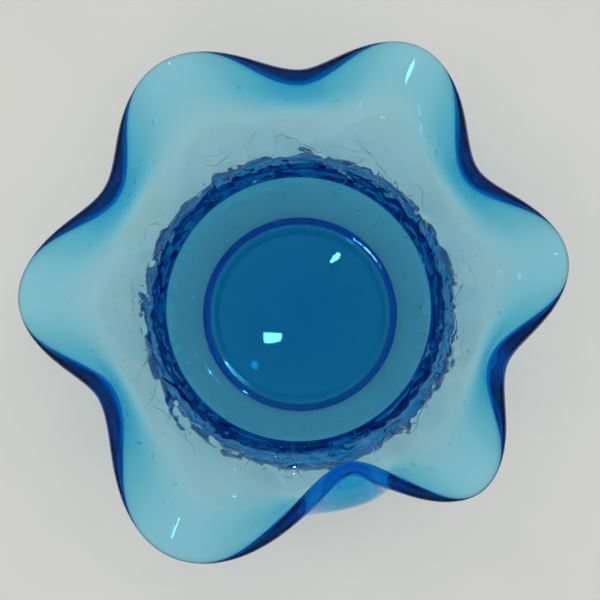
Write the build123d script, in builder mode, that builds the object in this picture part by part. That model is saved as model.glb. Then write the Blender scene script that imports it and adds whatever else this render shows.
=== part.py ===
from build123d import *
import os
from math import cos, hypot, pi, radians, sin

# Hand-blown crackle-glass bowl with a ruffled rim, standing on an applied pad foot.
# Millimetres.  The axis of the bowl is Z, and the foot stands on z = 0.

# ---- driving dimensions -------------------------------------------------------------
foot_radius = 48.7
foot_top = 5.4
rest_radius = 45.4
foot_edge = 0.3
joint_radius = 48.9

moat_height = 8.2
moat_radius = 42.4
dome_edge = 1.4
dome_radius = 40.8
dome_rise = 1.0
floor_centre_radius = 8.0

belly_height = 27.0
belly_outer_radius = 73.5
belly_wall = 7.5
shoulder_fullness = 0.45

neck_height = 50.0
neck_mid_radius = 59.8
neck_wall = 4.8
neck_step = 0.3

flare_wall = 2.2
throat_rise = 15.0

# The ruffle: six lobes pressed out and six folds pushed in, none quite like another.
# Each is (azimuth in degrees, rim radius, rim height, lean of the rim above level, pull, wall),
# where pull is how far the wall runs straight in from the rim along that lean, and wall is how
# thick the rim is: the glass is stretched thin at the lobes and gathered thick at the folds.
lobes = [
    (10, 107, 74, 17, 30, 3.2),
    (64.5, 114, 74, 16, 30, 3.2),
    (119, 110.5, 76, 18, 30, 3.2),
    (178.5, 108.5, 76, 18, 30, 3.2),
    (242.5, 107.5, 75, 17, 30, 3.2),
    (315.5, 100, 76, 20, 30, 3.2),
]
folds = [
    (35, 81.5, 87, 94, 26, 7),
    (89.5, 85, 88, 92, 26, 7),
    (150, 81, 88, 95, 26, 7),
    (207.5, 79, 87, 98, 26, 7),
    (287, 66.5, 86, 142, 46, 7),
    (342, 78.5, 87, 100, 26, 7),
]

section_count = 60
curve_points = 8
root_depth = 3.0

rim_marks = sorted(lobes + folds)


# ---- shape of the ruffled flare -----------------------------------------------------
def rim_at(azimuth):
    """Rim radius, height, lean, pull and wall at an azimuth, eased along a cosine between marks."""
    ring = [rim_marks[-1]] + rim_marks + [rim_marks[0]]
    angles = [mark[0] for mark in ring]
    angles[0] -= 360
    angles[-1] += 360
    turn = azimuth % 360
    index = max(i for i in range(len(ring) - 1) if angles[i] <= turn)
    share = (turn - angles[index]) / (angles[index + 1] - angles[index])
    ease = (1 - cos(pi * share)) / 2
    before = ring[index]
    after = ring[index + 1]
    return [before[k] * (1 - ease) + after[k] * ease for k in (1, 2, 3, 4, 5)]


def wall_middle(azimuth, along):
    """Middle of the wall, (radius, height), on a cubic curve from the neck (0) to the rim (1)."""
    radius, height, lean, pull, _ = rim_at(azimuth)
    controls = [
        (neck_mid_radius, neck_height),
        (neck_mid_radius, neck_height + throat_rise),
        (radius - pull * cos(radians(lean)), height - pull * sin(radians(lean))),
        (radius, height),
    ]
    rest = 1 - along
    weights = [rest**3, 3 * rest**2 * along, 3 * rest * along**2, along**3]
    return [sum(w * p[k] for w, p in zip(weights, controls)) for k in (0, 1)]


def wall_space(azimuth, along):
    """The same point in space."""
    radius, height = wall_middle(azimuth, along)
    return Vector(radius * cos(radians(azimuth)), radius * sin(radians(azimuth)), height)


def wall_thickness(azimuth, along):
    """Thickness of the flared wall: it thins out from the neck and gathers again near the rim."""
    root = (neck_wall - 2 * neck_step - flare_wall) * max(0.0, 1 - along / 0.3) ** 2
    share = min(1.0, max(0.0, (along - 0.62) / 0.26))
    gather = (rim_at(azimuth)[4] - flare_wall) * share**2 * (3 - 2 * share)
    return flare_wall + root + gather


def wall_face_point(azimuth, along, side):
    """A point on the wall's inner (+1) or outer (-1) face, in the radial plane (radius, height)."""
    step = 1e-3
    low = max(along - step, 0.0)
    high = min(along + step, 1.0)
    up = wall_space(azimuth, high) - wall_space(azimuth, low)
    across = wall_space(azimuth + 0.05, along) - wall_space(azimuth - 0.05, along)
    normal = across.cross(up).normalized()
    outward = normal.X * cos(radians(azimuth)) + normal.Y * sin(radians(azimuth))
    flat = hypot(outward, normal.Z)
    radius, height = wall_middle(azimuth, along)
    shift = -side * wall_thickness(azimuth, along) / 2 / flat
    return (radius + shift * outward / flat, height + shift * normal.Z / flat)


def flare_section(azimuth):
    """Closed outline of the wall from neck to rim in the radial plane, with a rounded rim."""
    steps = [k / (curve_points - 1) for k in range(curve_points)]
    inner = [wall_face_point(azimuth, s, 1) for s in steps]
    outer = [wall_face_point(azimuth, s, -1) for s in steps]
    before = wall_middle(azimuth, 0.999)
    rim = wall_middle(azimuth, 1.0)
    run = hypot(rim[0] - before[0], rim[1] - before[1])
    bead = hypot(outer[-1][0] - inner[-1][0], outer[-1][1] - inner[-1][1]) / 2
    centre = ((outer[-1][0] + inner[-1][0]) / 2, (outer[-1][1] + inner[-1][1]) / 2)
    tip = (
        centre[0] + bead * (rim[0] - before[0]) / run,
        centre[1] + bead * (rim[1] - before[1]) / run,
    )
    return inner, outer, tip


# ---- bowl body: one blown bubble, opened, flared and ruffled -------------------------
neck_inner = neck_mid_radius - neck_wall / 2
neck_outer = neck_mid_radius + neck_wall / 2
belly_inner_radius = belly_outer_radius - belly_wall
dome_shoulder = moat_height + dome_edge
floor_top = dome_shoulder + dome_rise
shoulder = shoulder_fullness * (neck_height - belly_height)

with BuildPart() as bowl_body:
    with BuildSketch(Plane.XZ):
        with BuildLine():
            Polyline((0, floor_top), (0, foot_top), (joint_radius, foot_top))
            EllipticalCenterArc(
                (joint_radius, belly_height),
                belly_outer_radius - joint_radius,
                belly_height - foot_top,
                start_angle=-90,
                arc_size=90,
            )
            Bezier(
                (belly_outer_radius, belly_height),
                (belly_outer_radius, belly_height + shoulder),
                (neck_outer, neck_height - shoulder),
                (neck_outer, neck_height),
            )
            Line((neck_outer, neck_height), (neck_inner, neck_height))
            Bezier(
                (neck_inner, neck_height),
                (neck_inner, neck_height - shoulder),
                (belly_inner_radius, belly_height + shoulder),
                (belly_inner_radius, belly_height),
            )
            EllipticalCenterArc(
                (moat_radius, belly_height),
                belly_inner_radius - moat_radius,
                belly_height - moat_height,
                start_angle=-90,
                arc_size=90,
            )
            Bezier(
                (moat_radius, moat_height),
                ((moat_radius + dome_radius) / 2, moat_height),
                ((moat_radius + dome_radius) / 2, dome_shoulder),
                (dome_radius, dome_shoulder),
            )
            Bezier(
                (dome_radius, dome_shoulder),
                ((dome_radius + floor_centre_radius) / 2, floor_top),
                (floor_centre_radius, floor_top),
            )
            Line((floor_centre_radius, floor_top), (0, floor_top))
        make_face()
    revolve(axis=Axis.Z)

    for half in (0, 1):
        count = section_count // 2
        for index in range(count + 1):
            azimuth = 180 * half + 180 * index / count
            radial = Vector(cos(radians(azimuth)), sin(radians(azimuth)), 0)
            inner, outer, tip = flare_section(azimuth)
            with BuildSketch(Plane((0, 0, 0), x_dir=radial, z_dir=radial.cross(Vector(0, 0, 1)))):
                with BuildLine():
                    Line((inner[0][0], neck_height - root_depth), inner[0])
                    Spline(inner)
                    ThreePointArc(inner[-1], tip, outer[-1])
                    Spline(outer)
                    Line(outer[0], (outer[0][0], neck_height - root_depth))
                    Line((outer[0][0], neck_height - root_depth), (inner[0][0], neck_height - root_depth))
                make_face()
        loft()

# ---- foot: a separate gather of glass pressed into a pad and stuck on hot -------------
# Its side narrows to the face that it stands on.
with BuildPart() as foot:
    with BuildSketch(Plane.XZ):
        with BuildLine():
            Polyline(
                (0, 0),
                (rest_radius - foot_edge, 0),
                (rest_radius, foot_edge),
                (foot_radius, foot_top - foot_edge),
                (foot_radius - foot_edge, foot_top),
                (0, foot_top),
                close=True,
            )
        make_face()
    revolve(axis=Axis.Z)

bowl_body.part.label = "bowl_body"
foot.part.label = "foot"

os.makedirs("parts", exist_ok=True)
export_step(bowl_body.part, "parts/bowl_body.step")
export_step(foot.part, "parts/foot.step")
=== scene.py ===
import bpy
import numpy as np
from mathutils import Matrix, Vector


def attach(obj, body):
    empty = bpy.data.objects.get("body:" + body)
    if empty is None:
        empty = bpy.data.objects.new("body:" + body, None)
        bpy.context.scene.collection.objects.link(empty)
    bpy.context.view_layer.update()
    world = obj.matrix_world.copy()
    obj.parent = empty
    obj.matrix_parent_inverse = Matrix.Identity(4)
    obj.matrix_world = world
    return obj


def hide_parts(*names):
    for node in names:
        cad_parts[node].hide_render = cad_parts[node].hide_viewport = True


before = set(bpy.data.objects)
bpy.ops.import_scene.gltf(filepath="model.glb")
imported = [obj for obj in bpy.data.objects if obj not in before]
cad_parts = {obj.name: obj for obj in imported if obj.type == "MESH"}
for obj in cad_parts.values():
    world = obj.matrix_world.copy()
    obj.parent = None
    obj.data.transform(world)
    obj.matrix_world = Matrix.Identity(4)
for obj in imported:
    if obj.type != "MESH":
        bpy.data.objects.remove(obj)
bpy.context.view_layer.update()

MM = 0.001


# ---- Camera -------------------------------------------------------------------------
# A hand-held camera looks almost straight down into the bowl from a forearm's length
# above it, a little to the front of the bowl's axis.
camera_height = 330 * MM
camera_side = 5.6 * MM
camera_front = -21.3 * MM
camera_lens = 39.0
aim_point = (0.0, 7.1 * MM, 0.0)

camera_data = bpy.data.cameras.new("camera")
camera_data.lens = camera_lens
camera_data.sensor_width = 36.0
camera_data.clip_start = 0.01
camera = bpy.data.objects.new("camera", camera_data)
bpy.context.scene.collection.objects.link(camera)
camera.location = (camera_side, camera_front, camera_height)
look = (Vector(aim_point) - camera.location).normalized()
right = look.cross(Vector((0, 1, 0))).normalized()
camera.rotation_euler = Matrix((right, right.cross(look), -look)).transposed().to_euler()
bpy.context.scene.camera = camera


# ---- Bowl body ----------------------------------------------------------------------
# One bubble of transparent blue glass, blown round, plunged into water so that its skin
# cracked all over, then warmed again, opened out from the neck, and crimped into six
# lobes while soft.  The rim is fire-polished, so it is smooth and round.
joint_radius = 48.9 * MM
joint_height = 5.4 * MM
moat_radius = 42.4 * MM
moat_height = 8.2 * MM
dome_radius = 40.8 * MM
dome_height = 2.4 * MM
dome_edge = 1.4 * MM
belly_height = 27.0 * MM
belly_radius = 73.5 * MM
belly_wall = 7.5 * MM
shoulder_fullness = 0.45
neck_height = 50.0 * MM
neck_radius = 59.8 * MM
neck_wall = 4.8 * MM
flare_wall = 2.2 * MM
neck_fade = 0.3
gather_start = 0.62
gather_run = 0.26
throat_rise = 15.0 * MM

# Six lobes pressed out and six folds pushed in, each (azimuth in degrees, rim radius, rim
# height, lean above level in degrees, pull, wall), with lengths in mm.  Pull is how far the wall
# runs straight in from the rim along its lean, and wall is how thick the rim is.
lobes = [
    (10, 107, 74, 17, 30, 3.2),
    (64.5, 114, 74, 16, 30, 3.2),
    (119, 110.5, 76, 18, 30, 3.2),
    (178.5, 108.5, 76, 18, 30, 3.2),
    (242.5, 107.5, 75, 17, 30, 3.2),
    (315.5, 100, 76, 20, 30, 3.2),
]
folds = [
    (35, 81.5, 87, 94, 26, 7),
    (89.5, 85, 88, 92, 26, 7),
    (150, 81, 88, 95, 26, 7),
    (207.5, 79, 87, 98, 26, 7),
    (287, 66.5, 86, 142, 46, 7),
    (342, 78.5, 87, 100, 26, 7),
]
turns = 500


def rim_at(azimuth):
    """Rim radius, height, lean, pull and wall at each azimuth: a half cosine from each mark to
    the next."""
    marks = np.array(sorted(lobes + folds), float)
    ring = np.vstack([marks[-1], marks, marks[0]])
    ring[0, 0] -= 360
    ring[-1, 0] += 360
    turn = np.degrees(azimuth) % 360
    index = np.searchsorted(ring[:, 0], turn, side="right") - 1
    share = (turn - ring[index, 0]) / (ring[index + 1, 0] - ring[index, 0])
    ease = ((1 - np.cos(np.pi * share)) / 2)[..., None]
    values = ring[index, 1:] * (1 - ease) + ring[index + 1, 1:] * ease
    radius, height, lean, pull, wall = np.moveaxis(values, -1, 0)
    return radius * MM, height * MM, np.radians(lean), pull * MM, wall * MM


def bezier(points, along):
    """Cubic Bezier through four control values, each a number or an array."""
    rest = 1 - along
    a, b, c, d = points
    return rest**3 * a + 3 * rest**2 * along * b + 3 * rest * along**2 * c + along**3 * d


def flare_middle(azimuth, along):
    """Middle of the flared wall: in each radial plane a cubic curve that leaves the neck
    upright (along = 0) and reaches the rim at that azimuth's lean (along = 1)."""
    radius, height, lean, pull, _ = rim_at(azimuth)
    r = bezier((neck_radius, neck_radius, radius - pull * np.cos(lean), radius), along)
    z = bezier((neck_height, neck_height + throat_rise, height - pull * np.sin(lean), height), along)
    return np.stack([r * np.cos(azimuth), r * np.sin(azimuth), z], axis=-1)


def unit(vectors):
    """Vectors scaled to length one."""
    return vectors / np.maximum(np.linalg.norm(vectors, axis=-1, keepdims=True), 1e-12)


def flare_wall_at(turn, step):
    """Middle of the flared wall, its outward and upward directions and half its thickness there:
    the neck's wall fades with the square of the way up, and the rim's comes in along a smooth
    step 3g^2 - 2g^3."""
    middle = flare_middle(turn, step)
    around = flare_middle(turn + 1e-4, step) - flare_middle(turn - 1e-4, step)
    low, high = np.maximum(step - 1e-4, 0), np.minimum(step + 1e-4, 1)
    upward = unit(flare_middle(turn, high) - flare_middle(turn, low))
    wall = flare_wall + (neck_wall - flare_wall) * np.clip(1 - step / neck_fade, 0, 1) ** 2
    gather = np.clip((step - gather_start) / gather_run, 0, 1)
    wall = wall + (rim_at(turn)[4] - flare_wall) * gather**2 * (3 - 2 * gather)
    return middle, unit(np.cross(around, upward)), upward, wall[..., None] / 2


def flare_faces(azimuth, along):
    """Outer face, rounded rim and inner face of the flare: the middle surface moved half the
    wall's thickness each way along its own normal, with a half circle over the edge."""
    turn, step = np.meshgrid(azimuth, along, indexing="ij")
    middle, outward, upward, half = flare_wall_at(turn, step)
    bend = np.linspace(0, np.pi, 9)[1:-1]
    edge = middle[:, -1:] + half[:, -1:] * (
        np.cos(bend)[None, :, None] * outward[:, -1:] + np.sin(bend)[None, :, None] * upward[:, -1:]
    )
    return middle + outward * half, edge, (middle - outward * half)[:, ::-1]


def turned(profile, azimuth):
    """A (radius, height) profile carried round the axis."""
    r, z = profile[:, 0], profile[:, 1]
    flat = np.zeros_like(azimuth)[:, None]
    return np.stack(
        [np.cos(azimuth)[:, None] * r, np.sin(azimuth)[:, None] * r, flat + z], axis=-1
    )


def belly_profile(belly, neck, flat, bottom, rows_heel, rows_shoulder):
    """From the flat of the floor out round the heel (a quarter ellipse) to the belly's widest
    line, then in along an S-curve to the neck."""
    sweep = np.linspace(-np.pi / 2, 0, rows_heel)
    heel = np.stack(
        [flat + (belly - flat) * np.cos(sweep), belly_height + (belly_height - bottom) * np.sin(sweep)],
        axis=-1,
    )
    along = np.linspace(0, 1, rows_shoulder + 1)[1:-1]
    handle = shoulder_fullness * (neck_height - belly_height)
    shoulder = np.stack(
        [
            bezier((belly, belly, neck, neck), along),
            bezier((belly_height, belly_height + handle, neck_height - handle, neck_height), along),
        ],
        axis=-1,
    )
    return np.vstack([heel, shoulder])


azimuth = np.linspace(0, 2 * np.pi, turns, endpoint=False)
flare_steps = np.concatenate([np.linspace(0, 0.5, 20), np.linspace(0.5, 1, 11)[1:]])
flare_inner_steps = np.linspace(0, 1, 20)

under = np.stack([np.linspace(6 * MM, joint_radius, 6)[:-1], np.full(5, joint_height)], axis=-1)
outer_curve = (belly_radius, neck_radius + neck_wall / 2, joint_radius, joint_height)
inner_curve = (belly_radius - belly_wall, neck_radius - neck_wall / 2, moat_radius, moat_height)
outside = belly_profile(*outer_curve, 34, 24)
inside = belly_profile(*inner_curve, 16, 9)[::-1]
dome_steps = np.concatenate(
    [np.linspace(moat_radius, dome_radius, 9)[1:], np.linspace(dome_radius, 4 * MM, 8)[1:]]
)
edge_share = np.clip((dome_steps - dome_radius) / (moat_radius - dome_radius), 0, 1)
dome = np.stack(
    [
        dome_steps,
        moat_height
        + dome_edge * (1 + np.cos(np.pi * edge_share)) / 2
        + (dome_height - dome_edge) * np.clip(1 - (dome_steps / dome_radius) ** 2, 0, 1),
    ],
    axis=-1,
)

outer_flare = flare_faces(azimuth, flare_steps)
inner_flare = flare_faces(azimuth, flare_inner_steps)
outer_skin = np.concatenate([turned(outside, azimuth), outer_flare[0]], axis=1)
inner_skin = np.concatenate([inner_flare[2], turned(inside, azimuth)], axis=1)

# The crackle: the skin broke into cells a few millimetres across.  Every cell stands a little
# proud and a little tilted, and a healed groove runs between neighbours.  It covers the belly
# and the neck, and fades to nothing out along the flare and under the heel.
crackle = np.random.default_rng(7)
cell_count = 800
cell_tilt = 0.08
groove_depth = 0.08 * MM
groove_width = 0.35 * MM
heel_start = 52 * MM
heel_fade = 10 * MM
flare_end = 76 * MM
flare_fade = 13 * MM


def crackle_strength(points):
    """One on the belly and neck, fading to nothing towards the foot and out along the flare."""
    r = np.hypot(points[..., 0], points[..., 1])
    z = points[..., 2]
    heel = np.clip((r - heel_start) / heel_fade, 0, 1)
    flare = np.clip((flare_end - r) / flare_fade, 0, 1)
    return heel * np.where(z > neck_height, flare, 1.0)


def crackled(skin):
    """The outer skin with its cells: each point moves along the wall's normal by its nearest
    cell's tilt, less a groove that deepens where two cells are equally near."""
    around = np.roll(skin, -1, axis=0) - np.roll(skin, 1, axis=0)
    upward = np.gradient(skin, axis=1)
    outward = unit(np.cross(around, upward))
    strength = crackle_strength(skin)
    points = skin.reshape(-1, 3)
    weight = strength.reshape(-1) * np.linalg.norm(np.cross(around, upward), axis=-1).reshape(-1)
    seeds = points[crackle.choice(len(points), cell_count, p=weight / weight.sum())]
    tilts = crackle.normal(0, cell_tilt, (cell_count, 3))
    move = np.zeros(len(points))
    for start in range(0, len(points), 2000):
        part = points[start : start + 2000]
        gap = np.linalg.norm(part[:, None] - seeds[None], axis=-1)
        near = np.argpartition(gap, 1, axis=1)[:, :2]
        two = np.take_along_axis(gap, near, axis=1)
        first = near[np.arange(len(part)), two.argmin(axis=1)]
        border = (two.max(axis=1) - two.min(axis=1)) / 2
        lean = ((part - seeds[first]) * tilts[first]).sum(axis=1)
        move[start : start + 2000] = lean - groove_depth * np.exp(-((border / groove_width) ** 2))
    return skin + outward * (move.reshape(strength.shape) * strength)[..., None]


outer_skin = crackled(outer_skin)


def wall_faces(turn, place):
    """Outer and inner face of the wall at a place along it: 0 is the floor, 1 the neck and 2
    the rim."""
    sides = []
    for curve in (outer_curve, inner_curve):
        profile = belly_profile(*curve, 40, 26)
        row = np.clip(place, 0, 1) * (len(profile) - 1)
        r = np.interp(row, np.arange(len(profile)), profile[:, 0])
        z = np.interp(row, np.arange(len(profile)), profile[:, 1])
        sides.append(np.stack([r * np.cos(turn), r * np.sin(turn), z], axis=-1))
    middle, outward, _, half = flare_wall_at(turn, np.clip(place - 1, 0, 1))
    flared = (place > 1)[..., None]
    outer = np.where(flared, middle + outward * half, sides[0])
    inner = np.where(flared, middle - outward * half, sides[1])
    return outer, inner


# Cracks that the fire didn't close stay in the wall as gaps thinner than a hair.
crack_gap = 0.02 * MM
crack_sections = 7


def cracks(count, low, high, length, slope, tilt, depth):
    """Lens-shaped gaps inside the wall.  Each is a sheet that follows the wall for its length and
    stands across it at its own tilt, and is a pair of faces a hair apart that meet all round its
    edge.  The faces look into the gap."""
    turn = crackle.uniform(0, 2 * np.pi, (count, 1))
    place = crackle.uniform(low, high, (count, 1))
    outer, inner = wall_faces(turn, place)
    radius = np.hypot(outer[..., 0], outer[..., 1])
    rise = np.linalg.norm(wall_faces(turn, place + 0.02)[0] - outer, axis=-1) / 0.02
    half = crackle.uniform(*length, (count, 1)) / 2
    heading = crackle.normal(0, slope, (count, 1))
    bow = crackle.normal(0, 0.25, (count, 1)) * half
    along = np.linspace(-1, 1, crack_sections + 2)
    wobble = crackle.normal(0, 0.06, (count, crack_sections + 2)) * half
    across = along * half * np.sin(heading) + (along**2 * bow + wobble) * np.cos(heading)
    onward = along * half * np.cos(heading) - (along**2 * bow + wobble) * np.sin(heading)
    level = crackle.uniform(0.3, 0.7, (count, 1))
    reach = crackle.uniform(*depth, (count, 1)) * np.sqrt(1 - along**2) * np.minimum(level, 1 - level) * 1.8
    hand = np.where(crackle.random((count, 1)) < 0.5, -1, 1)
    lean = hand * crackle.uniform(*tilt, (count, 1)) * np.linalg.norm(outer - inner, axis=-1) * reach
    edges = []
    for side in (1, -1):
        outer, inner = wall_faces(
            turn + (onward - side * lean * np.sin(heading)) / radius,
            place + (across + side * lean * np.cos(heading)) / rise,
        )
        share = (level + side * reach / 2)[..., None]
        edges.append(inner + (outer - inner) * share)
    middle = (edges[0] + edges[1]) / 2
    run = np.gradient(middle, axis=1)
    facing = unit(np.cross(run, edges[0] - edges[1]))
    gap = facing * (crack_gap * (1 - along**2))[None, :, None]
    rings = np.stack([edges[0], middle + gap, edges[1], middle - gap], axis=2)[:, 1:-1]
    tips = middle[:, [0, -1]]
    points = np.concatenate([rings.reshape(count, -1, 3), tips], axis=1)
    a, k = np.meshgrid(np.arange(crack_sections - 1) * 4, np.arange(4), indexing="ij")
    n = (k + 1) % 4
    quads = np.stack([a + k, a + n, a + 4 + n, a + 4 + k], axis=-1).reshape(-1, 4)
    k = np.arange(4)
    n = (k + 1) % 4
    last = (crack_sections - 1) * 4
    first_tip = np.stack([np.full(4, last + 4), n, k], axis=-1)
    last_tip = np.stack([np.full(4, last + 5), last + k, last + n], axis=-1)
    ends = np.vstack([first_tip, last_tip])
    shift = (np.arange(count) * points.shape[1])[:, None, None]
    return points.reshape(-1, 3), (quads + shift).reshape(-1, 4), (ends + shift).reshape(-1, 3)


def closed_skin(grid, first_pole, last_pole):
    """Points and faces of a grid that goes round the axis, closed by a point at each end."""
    count, rows = grid.shape[:2]
    points = np.concatenate([grid.reshape(-1, 3), [first_pole, last_pole]])
    i = np.arange(count)[:, None]
    k = np.arange(rows - 1)[None, :]
    j = (i + 1) % count
    quads = np.stack([i * rows + k, j * rows + k, j * rows + k + 1, i * rows + k + 1], axis=-1)
    first, last = count * rows, count * rows + 1
    i, j = i[:, 0], j[:, 0]
    bottom = np.stack([j * rows, i * rows, np.full(count, first)], axis=-1)
    top = np.stack([i * rows + rows - 1, j * rows + rows - 1, np.full(count, last)], axis=-1)
    return points, quads.reshape(-1, 4), np.vstack([bottom, top])


def make_mesh(name, points, quads, triangles, smooth):
    """A mesh from whole arrays of corners: four-sided faces first, then three-sided ones."""
    mesh = bpy.data.meshes.new(name)
    corners = np.concatenate([quads.ravel(), triangles.ravel()]).astype(np.int32)
    sizes = np.concatenate([np.full(len(quads), 4), np.full(len(triangles), 3)])
    starts = np.concatenate([[0], np.cumsum(sizes)[:-1]]).astype(np.int32)
    mesh.vertices.add(len(points))
    mesh.vertices.foreach_set("co", points.astype(np.float32).ravel())
    mesh.loops.add(len(corners))
    mesh.loops.foreach_set("vertex_index", corners)
    mesh.polygons.add(len(sizes))
    mesh.polygons.foreach_set("loop_start", starts)
    mesh.update(calc_edges=True)
    mesh.polygons.foreach_set("use_smooth", smooth)
    mesh.validate()
    piece = bpy.data.objects.new(name, mesh)
    bpy.context.scene.collection.objects.link(piece)
    return piece


body_grid = np.concatenate(
    [turned(under, azimuth), outer_skin, outer_flare[1], inner_skin, turned(dome, azimuth)], axis=1
)
points, quads, triangles = closed_skin(
    body_grid, (0, 0, joint_height), (0, 0, moat_height + dome_height)
)
smooth = [np.ones(len(quads), bool)]
closing = [np.ones(len(triangles), bool)]

# Count, lowest and highest place, length, slope, tilt and depth of the specks in the floor, the
# long cracks round the neck, the long ones above it, and the ticks in the flare.
crack_families = [
    (260, 0.15, 0.62, (1 * MM, 4 * MM), 0.5, (0.15, 0.5), (0.3, 0.8)),
    (220, 0.55, 1.25, (4 * MM, 14 * MM), 0.25, (0.15, 0.5), (0.5, 1.0)),
    (70, 1.15, 1.5, (5 * MM, 20 * MM), 0.5, (0.15, 0.5), (0.4, 0.9)),
    (120, 1.3, 1.9, (0.8 * MM, 3 * MM), 1.5, (0.2, 0.6), (0.5, 1.0)),
]
for family in crack_families:
    more, fours, threes = cracks(*family)
    quads = np.vstack([quads, fours + len(points)])
    triangles = np.vstack([triangles, threes + len(points)])
    points = np.vstack([points, more])
    smooth.append(np.zeros(len(fours), bool))
    closing.append(np.zeros(len(threes), bool))
bowl_body = make_mesh("bowl_body_glass", points, quads, triangles, np.concatenate(smooth + closing))


def blown_skin():
    """Node group: what blowing, warming and handling leave on a glass skin.  Slow ripples and a
    fine orange peel turn the normal, and a mask tells where fingers have dulled it a little."""
    group = bpy.data.node_groups.new("blown glass skin", "ShaderNodeTree")
    group.interface.new_socket("Ripple", in_out="INPUT", socket_type="NodeSocketFloat")
    group.interface.new_socket("Dulled", in_out="OUTPUT", socket_type="NodeSocketFloat")
    group.interface.new_socket("Normal", in_out="OUTPUT", socket_type="NodeSocketVector")
    nodes, links = group.nodes, group.links
    given, out = nodes.new("NodeGroupInput"), nodes.new("NodeGroupOutput")
    place = nodes.new("ShaderNodeTexCoord").outputs["Object"]
    waves = []
    for scale, detail in ((38.0, 1.0), (240.0, 2.0), (16.0, 3.0)):
        noise = nodes.new("ShaderNodeTexNoise")
        noise.inputs["Scale"].default_value = scale
        noise.inputs["Detail"].default_value = detail
        links.new(place, noise.inputs["Vector"])
        waves.append(noise.outputs["Fac"])
    relief = nodes.new("ShaderNodeMath")
    relief.operation = "MULTIPLY_ADD"
    relief.inputs[1].default_value = 0.06
    links.new(waves[1], relief.inputs[0])
    links.new(waves[0], relief.inputs[2])
    bump = nodes.new("ShaderNodeBump")
    bump.inputs["Strength"].default_value = 1.0
    links.new(relief.outputs["Value"], bump.inputs["Height"])
    links.new(given.outputs["Ripple"], bump.inputs["Distance"])
    links.new(bump.outputs["Normal"], out.inputs["Normal"])
    dulled = nodes.new("ShaderNodeMapRange")
    dulled.inputs["From Min"].default_value = 0.5
    dulled.inputs["From Max"].default_value = 0.75
    links.new(waves[2], dulled.inputs["Value"])
    links.new(dulled.outputs["Result"], out.inputs["Dulled"])
    return group


skin_group = blown_skin()


def blue_glass(name, density, ripple, haze):
    """Clear blue glass: a smooth dielectric, coloured by what it absorbs along the ray, with the
    blown skin's ripple (a height in metres) and its dulled patches (up to this roughness)."""
    material = bpy.data.materials.new(name)
    material.use_nodes = True
    nodes, links = material.node_tree.nodes, material.node_tree.links
    shader = nodes["Principled BSDF"]
    shader.inputs["Base Color"].default_value = (1, 1, 1, 1)
    shader.inputs["Transmission Weight"].default_value = 1.0
    shader.inputs["IOR"].default_value = 1.5
    shader.inputs["Specular Tint"].default_value = (0.06, 0.5, 1.0, 1)
    skin = nodes.new("ShaderNodeGroup")
    skin.node_tree = skin_group
    skin.inputs["Ripple"].default_value = ripple
    rough = nodes.new("ShaderNodeMath")
    rough.operation = "MULTIPLY"
    rough.inputs[1].default_value = haze
    links.new(skin.outputs["Dulled"], rough.inputs[0])
    links.new(rough.outputs["Value"], shader.inputs["Roughness"])
    links.new(skin.outputs["Normal"], shader.inputs["Normal"])
    absorb = nodes.new("ShaderNodeVolumeAbsorption")
    absorb.inputs["Density"].default_value = density
    absorb.inputs["Color"].default_value = (0.002, 0.794, 0.962, 1)
    links.new(absorb.outputs["Volume"], nodes["Material Output"].inputs["Volume"])
    return material


body_glass = blue_glass("crackled blue glass", 360.0, 0.12 * MM, 0.03)
bowl_body.data.materials.append(body_glass)
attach(bowl_body, "root")
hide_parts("bowl_body")


# ---- Foot ---------------------------------------------------------------------------
# A second gather of the same glass, dropped on the hot bubble, pressed out into a disc
# whose side narrows to the face it stands on.  It has no crackle: it went on after the water.
foot_radius = 48.7 * MM
rest_radius = 45.4 * MM
foot_edge = 0.2 * MM
fused_depth = 0.1 * MM
foot_turns = 720

# The foot's top sinks into the body's underside, so that light goes straight from one glass to
# the other.  Its faces are flat-shaded: the side has to turn light back by its own slope.
foot_top = joint_height + fused_depth
foot_profile = np.vstack(
    [
        [(r, 0.0) for r in np.linspace(5 * MM, rest_radius - 0.5 * MM, 9)],
        [(rest_radius - foot_edge, 0.0), (rest_radius, foot_edge)],
        [(foot_radius, foot_top - 0.3 * MM), (foot_radius - foot_edge, foot_top)],
        [(r, foot_top) for r in np.linspace(foot_radius - 0.6 * MM, 5 * MM, 9)],
    ]
)
foot_azimuth = np.linspace(0, 2 * np.pi, foot_turns, endpoint=False)
points, quads, triangles = closed_skin(turned(foot_profile, foot_azimuth), (0, 0, 0), (0, 0, foot_top))
flat_shaded = np.zeros(len(quads) + len(triangles), bool)
foot = make_mesh("foot_glass", points, quads, triangles, flat_shaded)
foot.data.materials.append(blue_glass("foot blue glass", 230.0, 0.05 * MM, 0.04))
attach(foot, "root")
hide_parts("foot")


# ---- Table and light ----------------------------------------------------------------
# A plain pale table top under soft light from overhead in a darker room, with three small
# lamps that put the short white streaks into the glass.
table_reach = 3.0
table_drop = 0.2 * MM

table_mesh = bpy.data.meshes.new("table")
table_mesh.from_pydata(
    [(x * table_reach, y * table_reach, -table_drop) for x, y in ((-1, -1), (1, -1), (1, 1), (-1, 1))],
    [],
    [(0, 1, 2, 3)],
)
table = bpy.data.objects.new("table", table_mesh)
bpy.context.scene.collection.objects.link(table)
paint = bpy.data.materials.new("pale table top")
paint.use_nodes = True
nodes, links = paint.node_tree.nodes, paint.node_tree.links
top = nodes["Principled BSDF"]
top.inputs["Roughness"].default_value = 0.5
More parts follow.
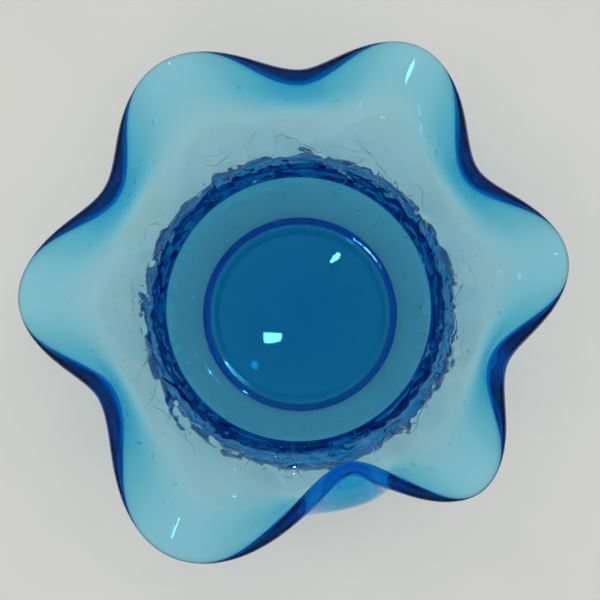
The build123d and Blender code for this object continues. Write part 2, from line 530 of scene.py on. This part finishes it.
# Painted light and shade: broad lighter and darker patches in the table's colour stand in for the uneven
# light falling across the top.
painted_light_patches = nodes.new("ShaderNodeTexNoise")
painted_light_patches.inputs["Scale"].default_value = 7.0
painted_light_patches.inputs["Detail"].default_value = 4.0
links.new(nodes.new("ShaderNodeTexCoord").outputs["Object"], painted_light_patches.inputs["Vector"])
painted_light_ramp = nodes.new("ShaderNodeValToRGB")
painted_light_ramp.color_ramp.elements[0].position = 0.35
painted_light_ramp.color_ramp.elements[0].color = (0.82, 0.83, 0.81, 1)
painted_light_ramp.color_ramp.elements[1].position = 0.65
painted_light_ramp.color_ramp.elements[1].color = (0.89, 0.89, 0.85, 1)
links.new(painted_light_patches.outputs["Fac"], painted_light_ramp.inputs["Fac"])
links.new(painted_light_ramp.outputs["Color"], top.inputs["Base Color"])
table.data.materials.append(paint)

world = bpy.data.worlds.new("room")
bpy.context.scene.world = world
world.use_nodes = True
sky = world.node_tree
where = sky.nodes.new("ShaderNodeTexCoord")
height = sky.nodes.new("ShaderNodeSeparateXYZ")
ramp = sky.nodes.new("ShaderNodeValToRGB")
sky.links.new(where.outputs["Generated"], height.inputs["Vector"])
sky.links.new(height.outputs["Z"], ramp.inputs["Fac"])
stops = [(0.0, 0.02), (0.02, 0.06), (0.3, 0.16), (0.6, 0.55), (0.8, 0.9), (0.95, 0.95), (1.0, 0.7)]
ramp.color_ramp.elements[0].position = stops[0][0]
ramp.color_ramp.elements[1].position = stops[-1][0]
for place, _ in stops[1:-1]:
    ramp.color_ramp.elements.new(place)
for element, (_, level) in zip(ramp.color_ramp.elements, stops):
    element.color = (level, level * 0.99, level * 0.97, 1)
sky.links.new(ramp.outputs["Color"], sky.nodes["Background"].inputs["Color"])


def lamp(name, place, length, width, power, turn):
    """A long flat lamp overhead that faces the bowl, turned about the line to it."""
    data = bpy.data.lights.new(name, "AREA")
    data.shape = "RECTANGLE"
    data.size = length
    data.size_y = width
    data.energy = power
    piece = bpy.data.objects.new(name, data)
    bpy.context.scene.collection.objects.link(piece)
    piece.location = place
    piece.rotation_euler = Vector(place).to_track_quat("Z", "Y").to_euler()
    piece.rotation_euler.rotate_axis("Z", turn)


lamp("ceiling lamp", (-0.55, 0.0, 6.0), 0.3, 0.13, 12.0, 1.6)
lamp("further lamp", (0.55, 1.35, 6.0), 0.2, 0.05, 3.0, 1.2)
lamp("window lamp", (2.6, 2.2, 5.0), 0.25, 0.08, 5.0, 0.5)

scene = bpy.context.scene
scene.cycles.max_bounces = 32
scene.cycles.transmission_bounces = 32
scene.cycles.glossy_bounces = 12
scene.cycles.diffuse_bounces = 4
scene.view_settings.view_transform = "Standard"
scene.view_settings.gamma = 1.15
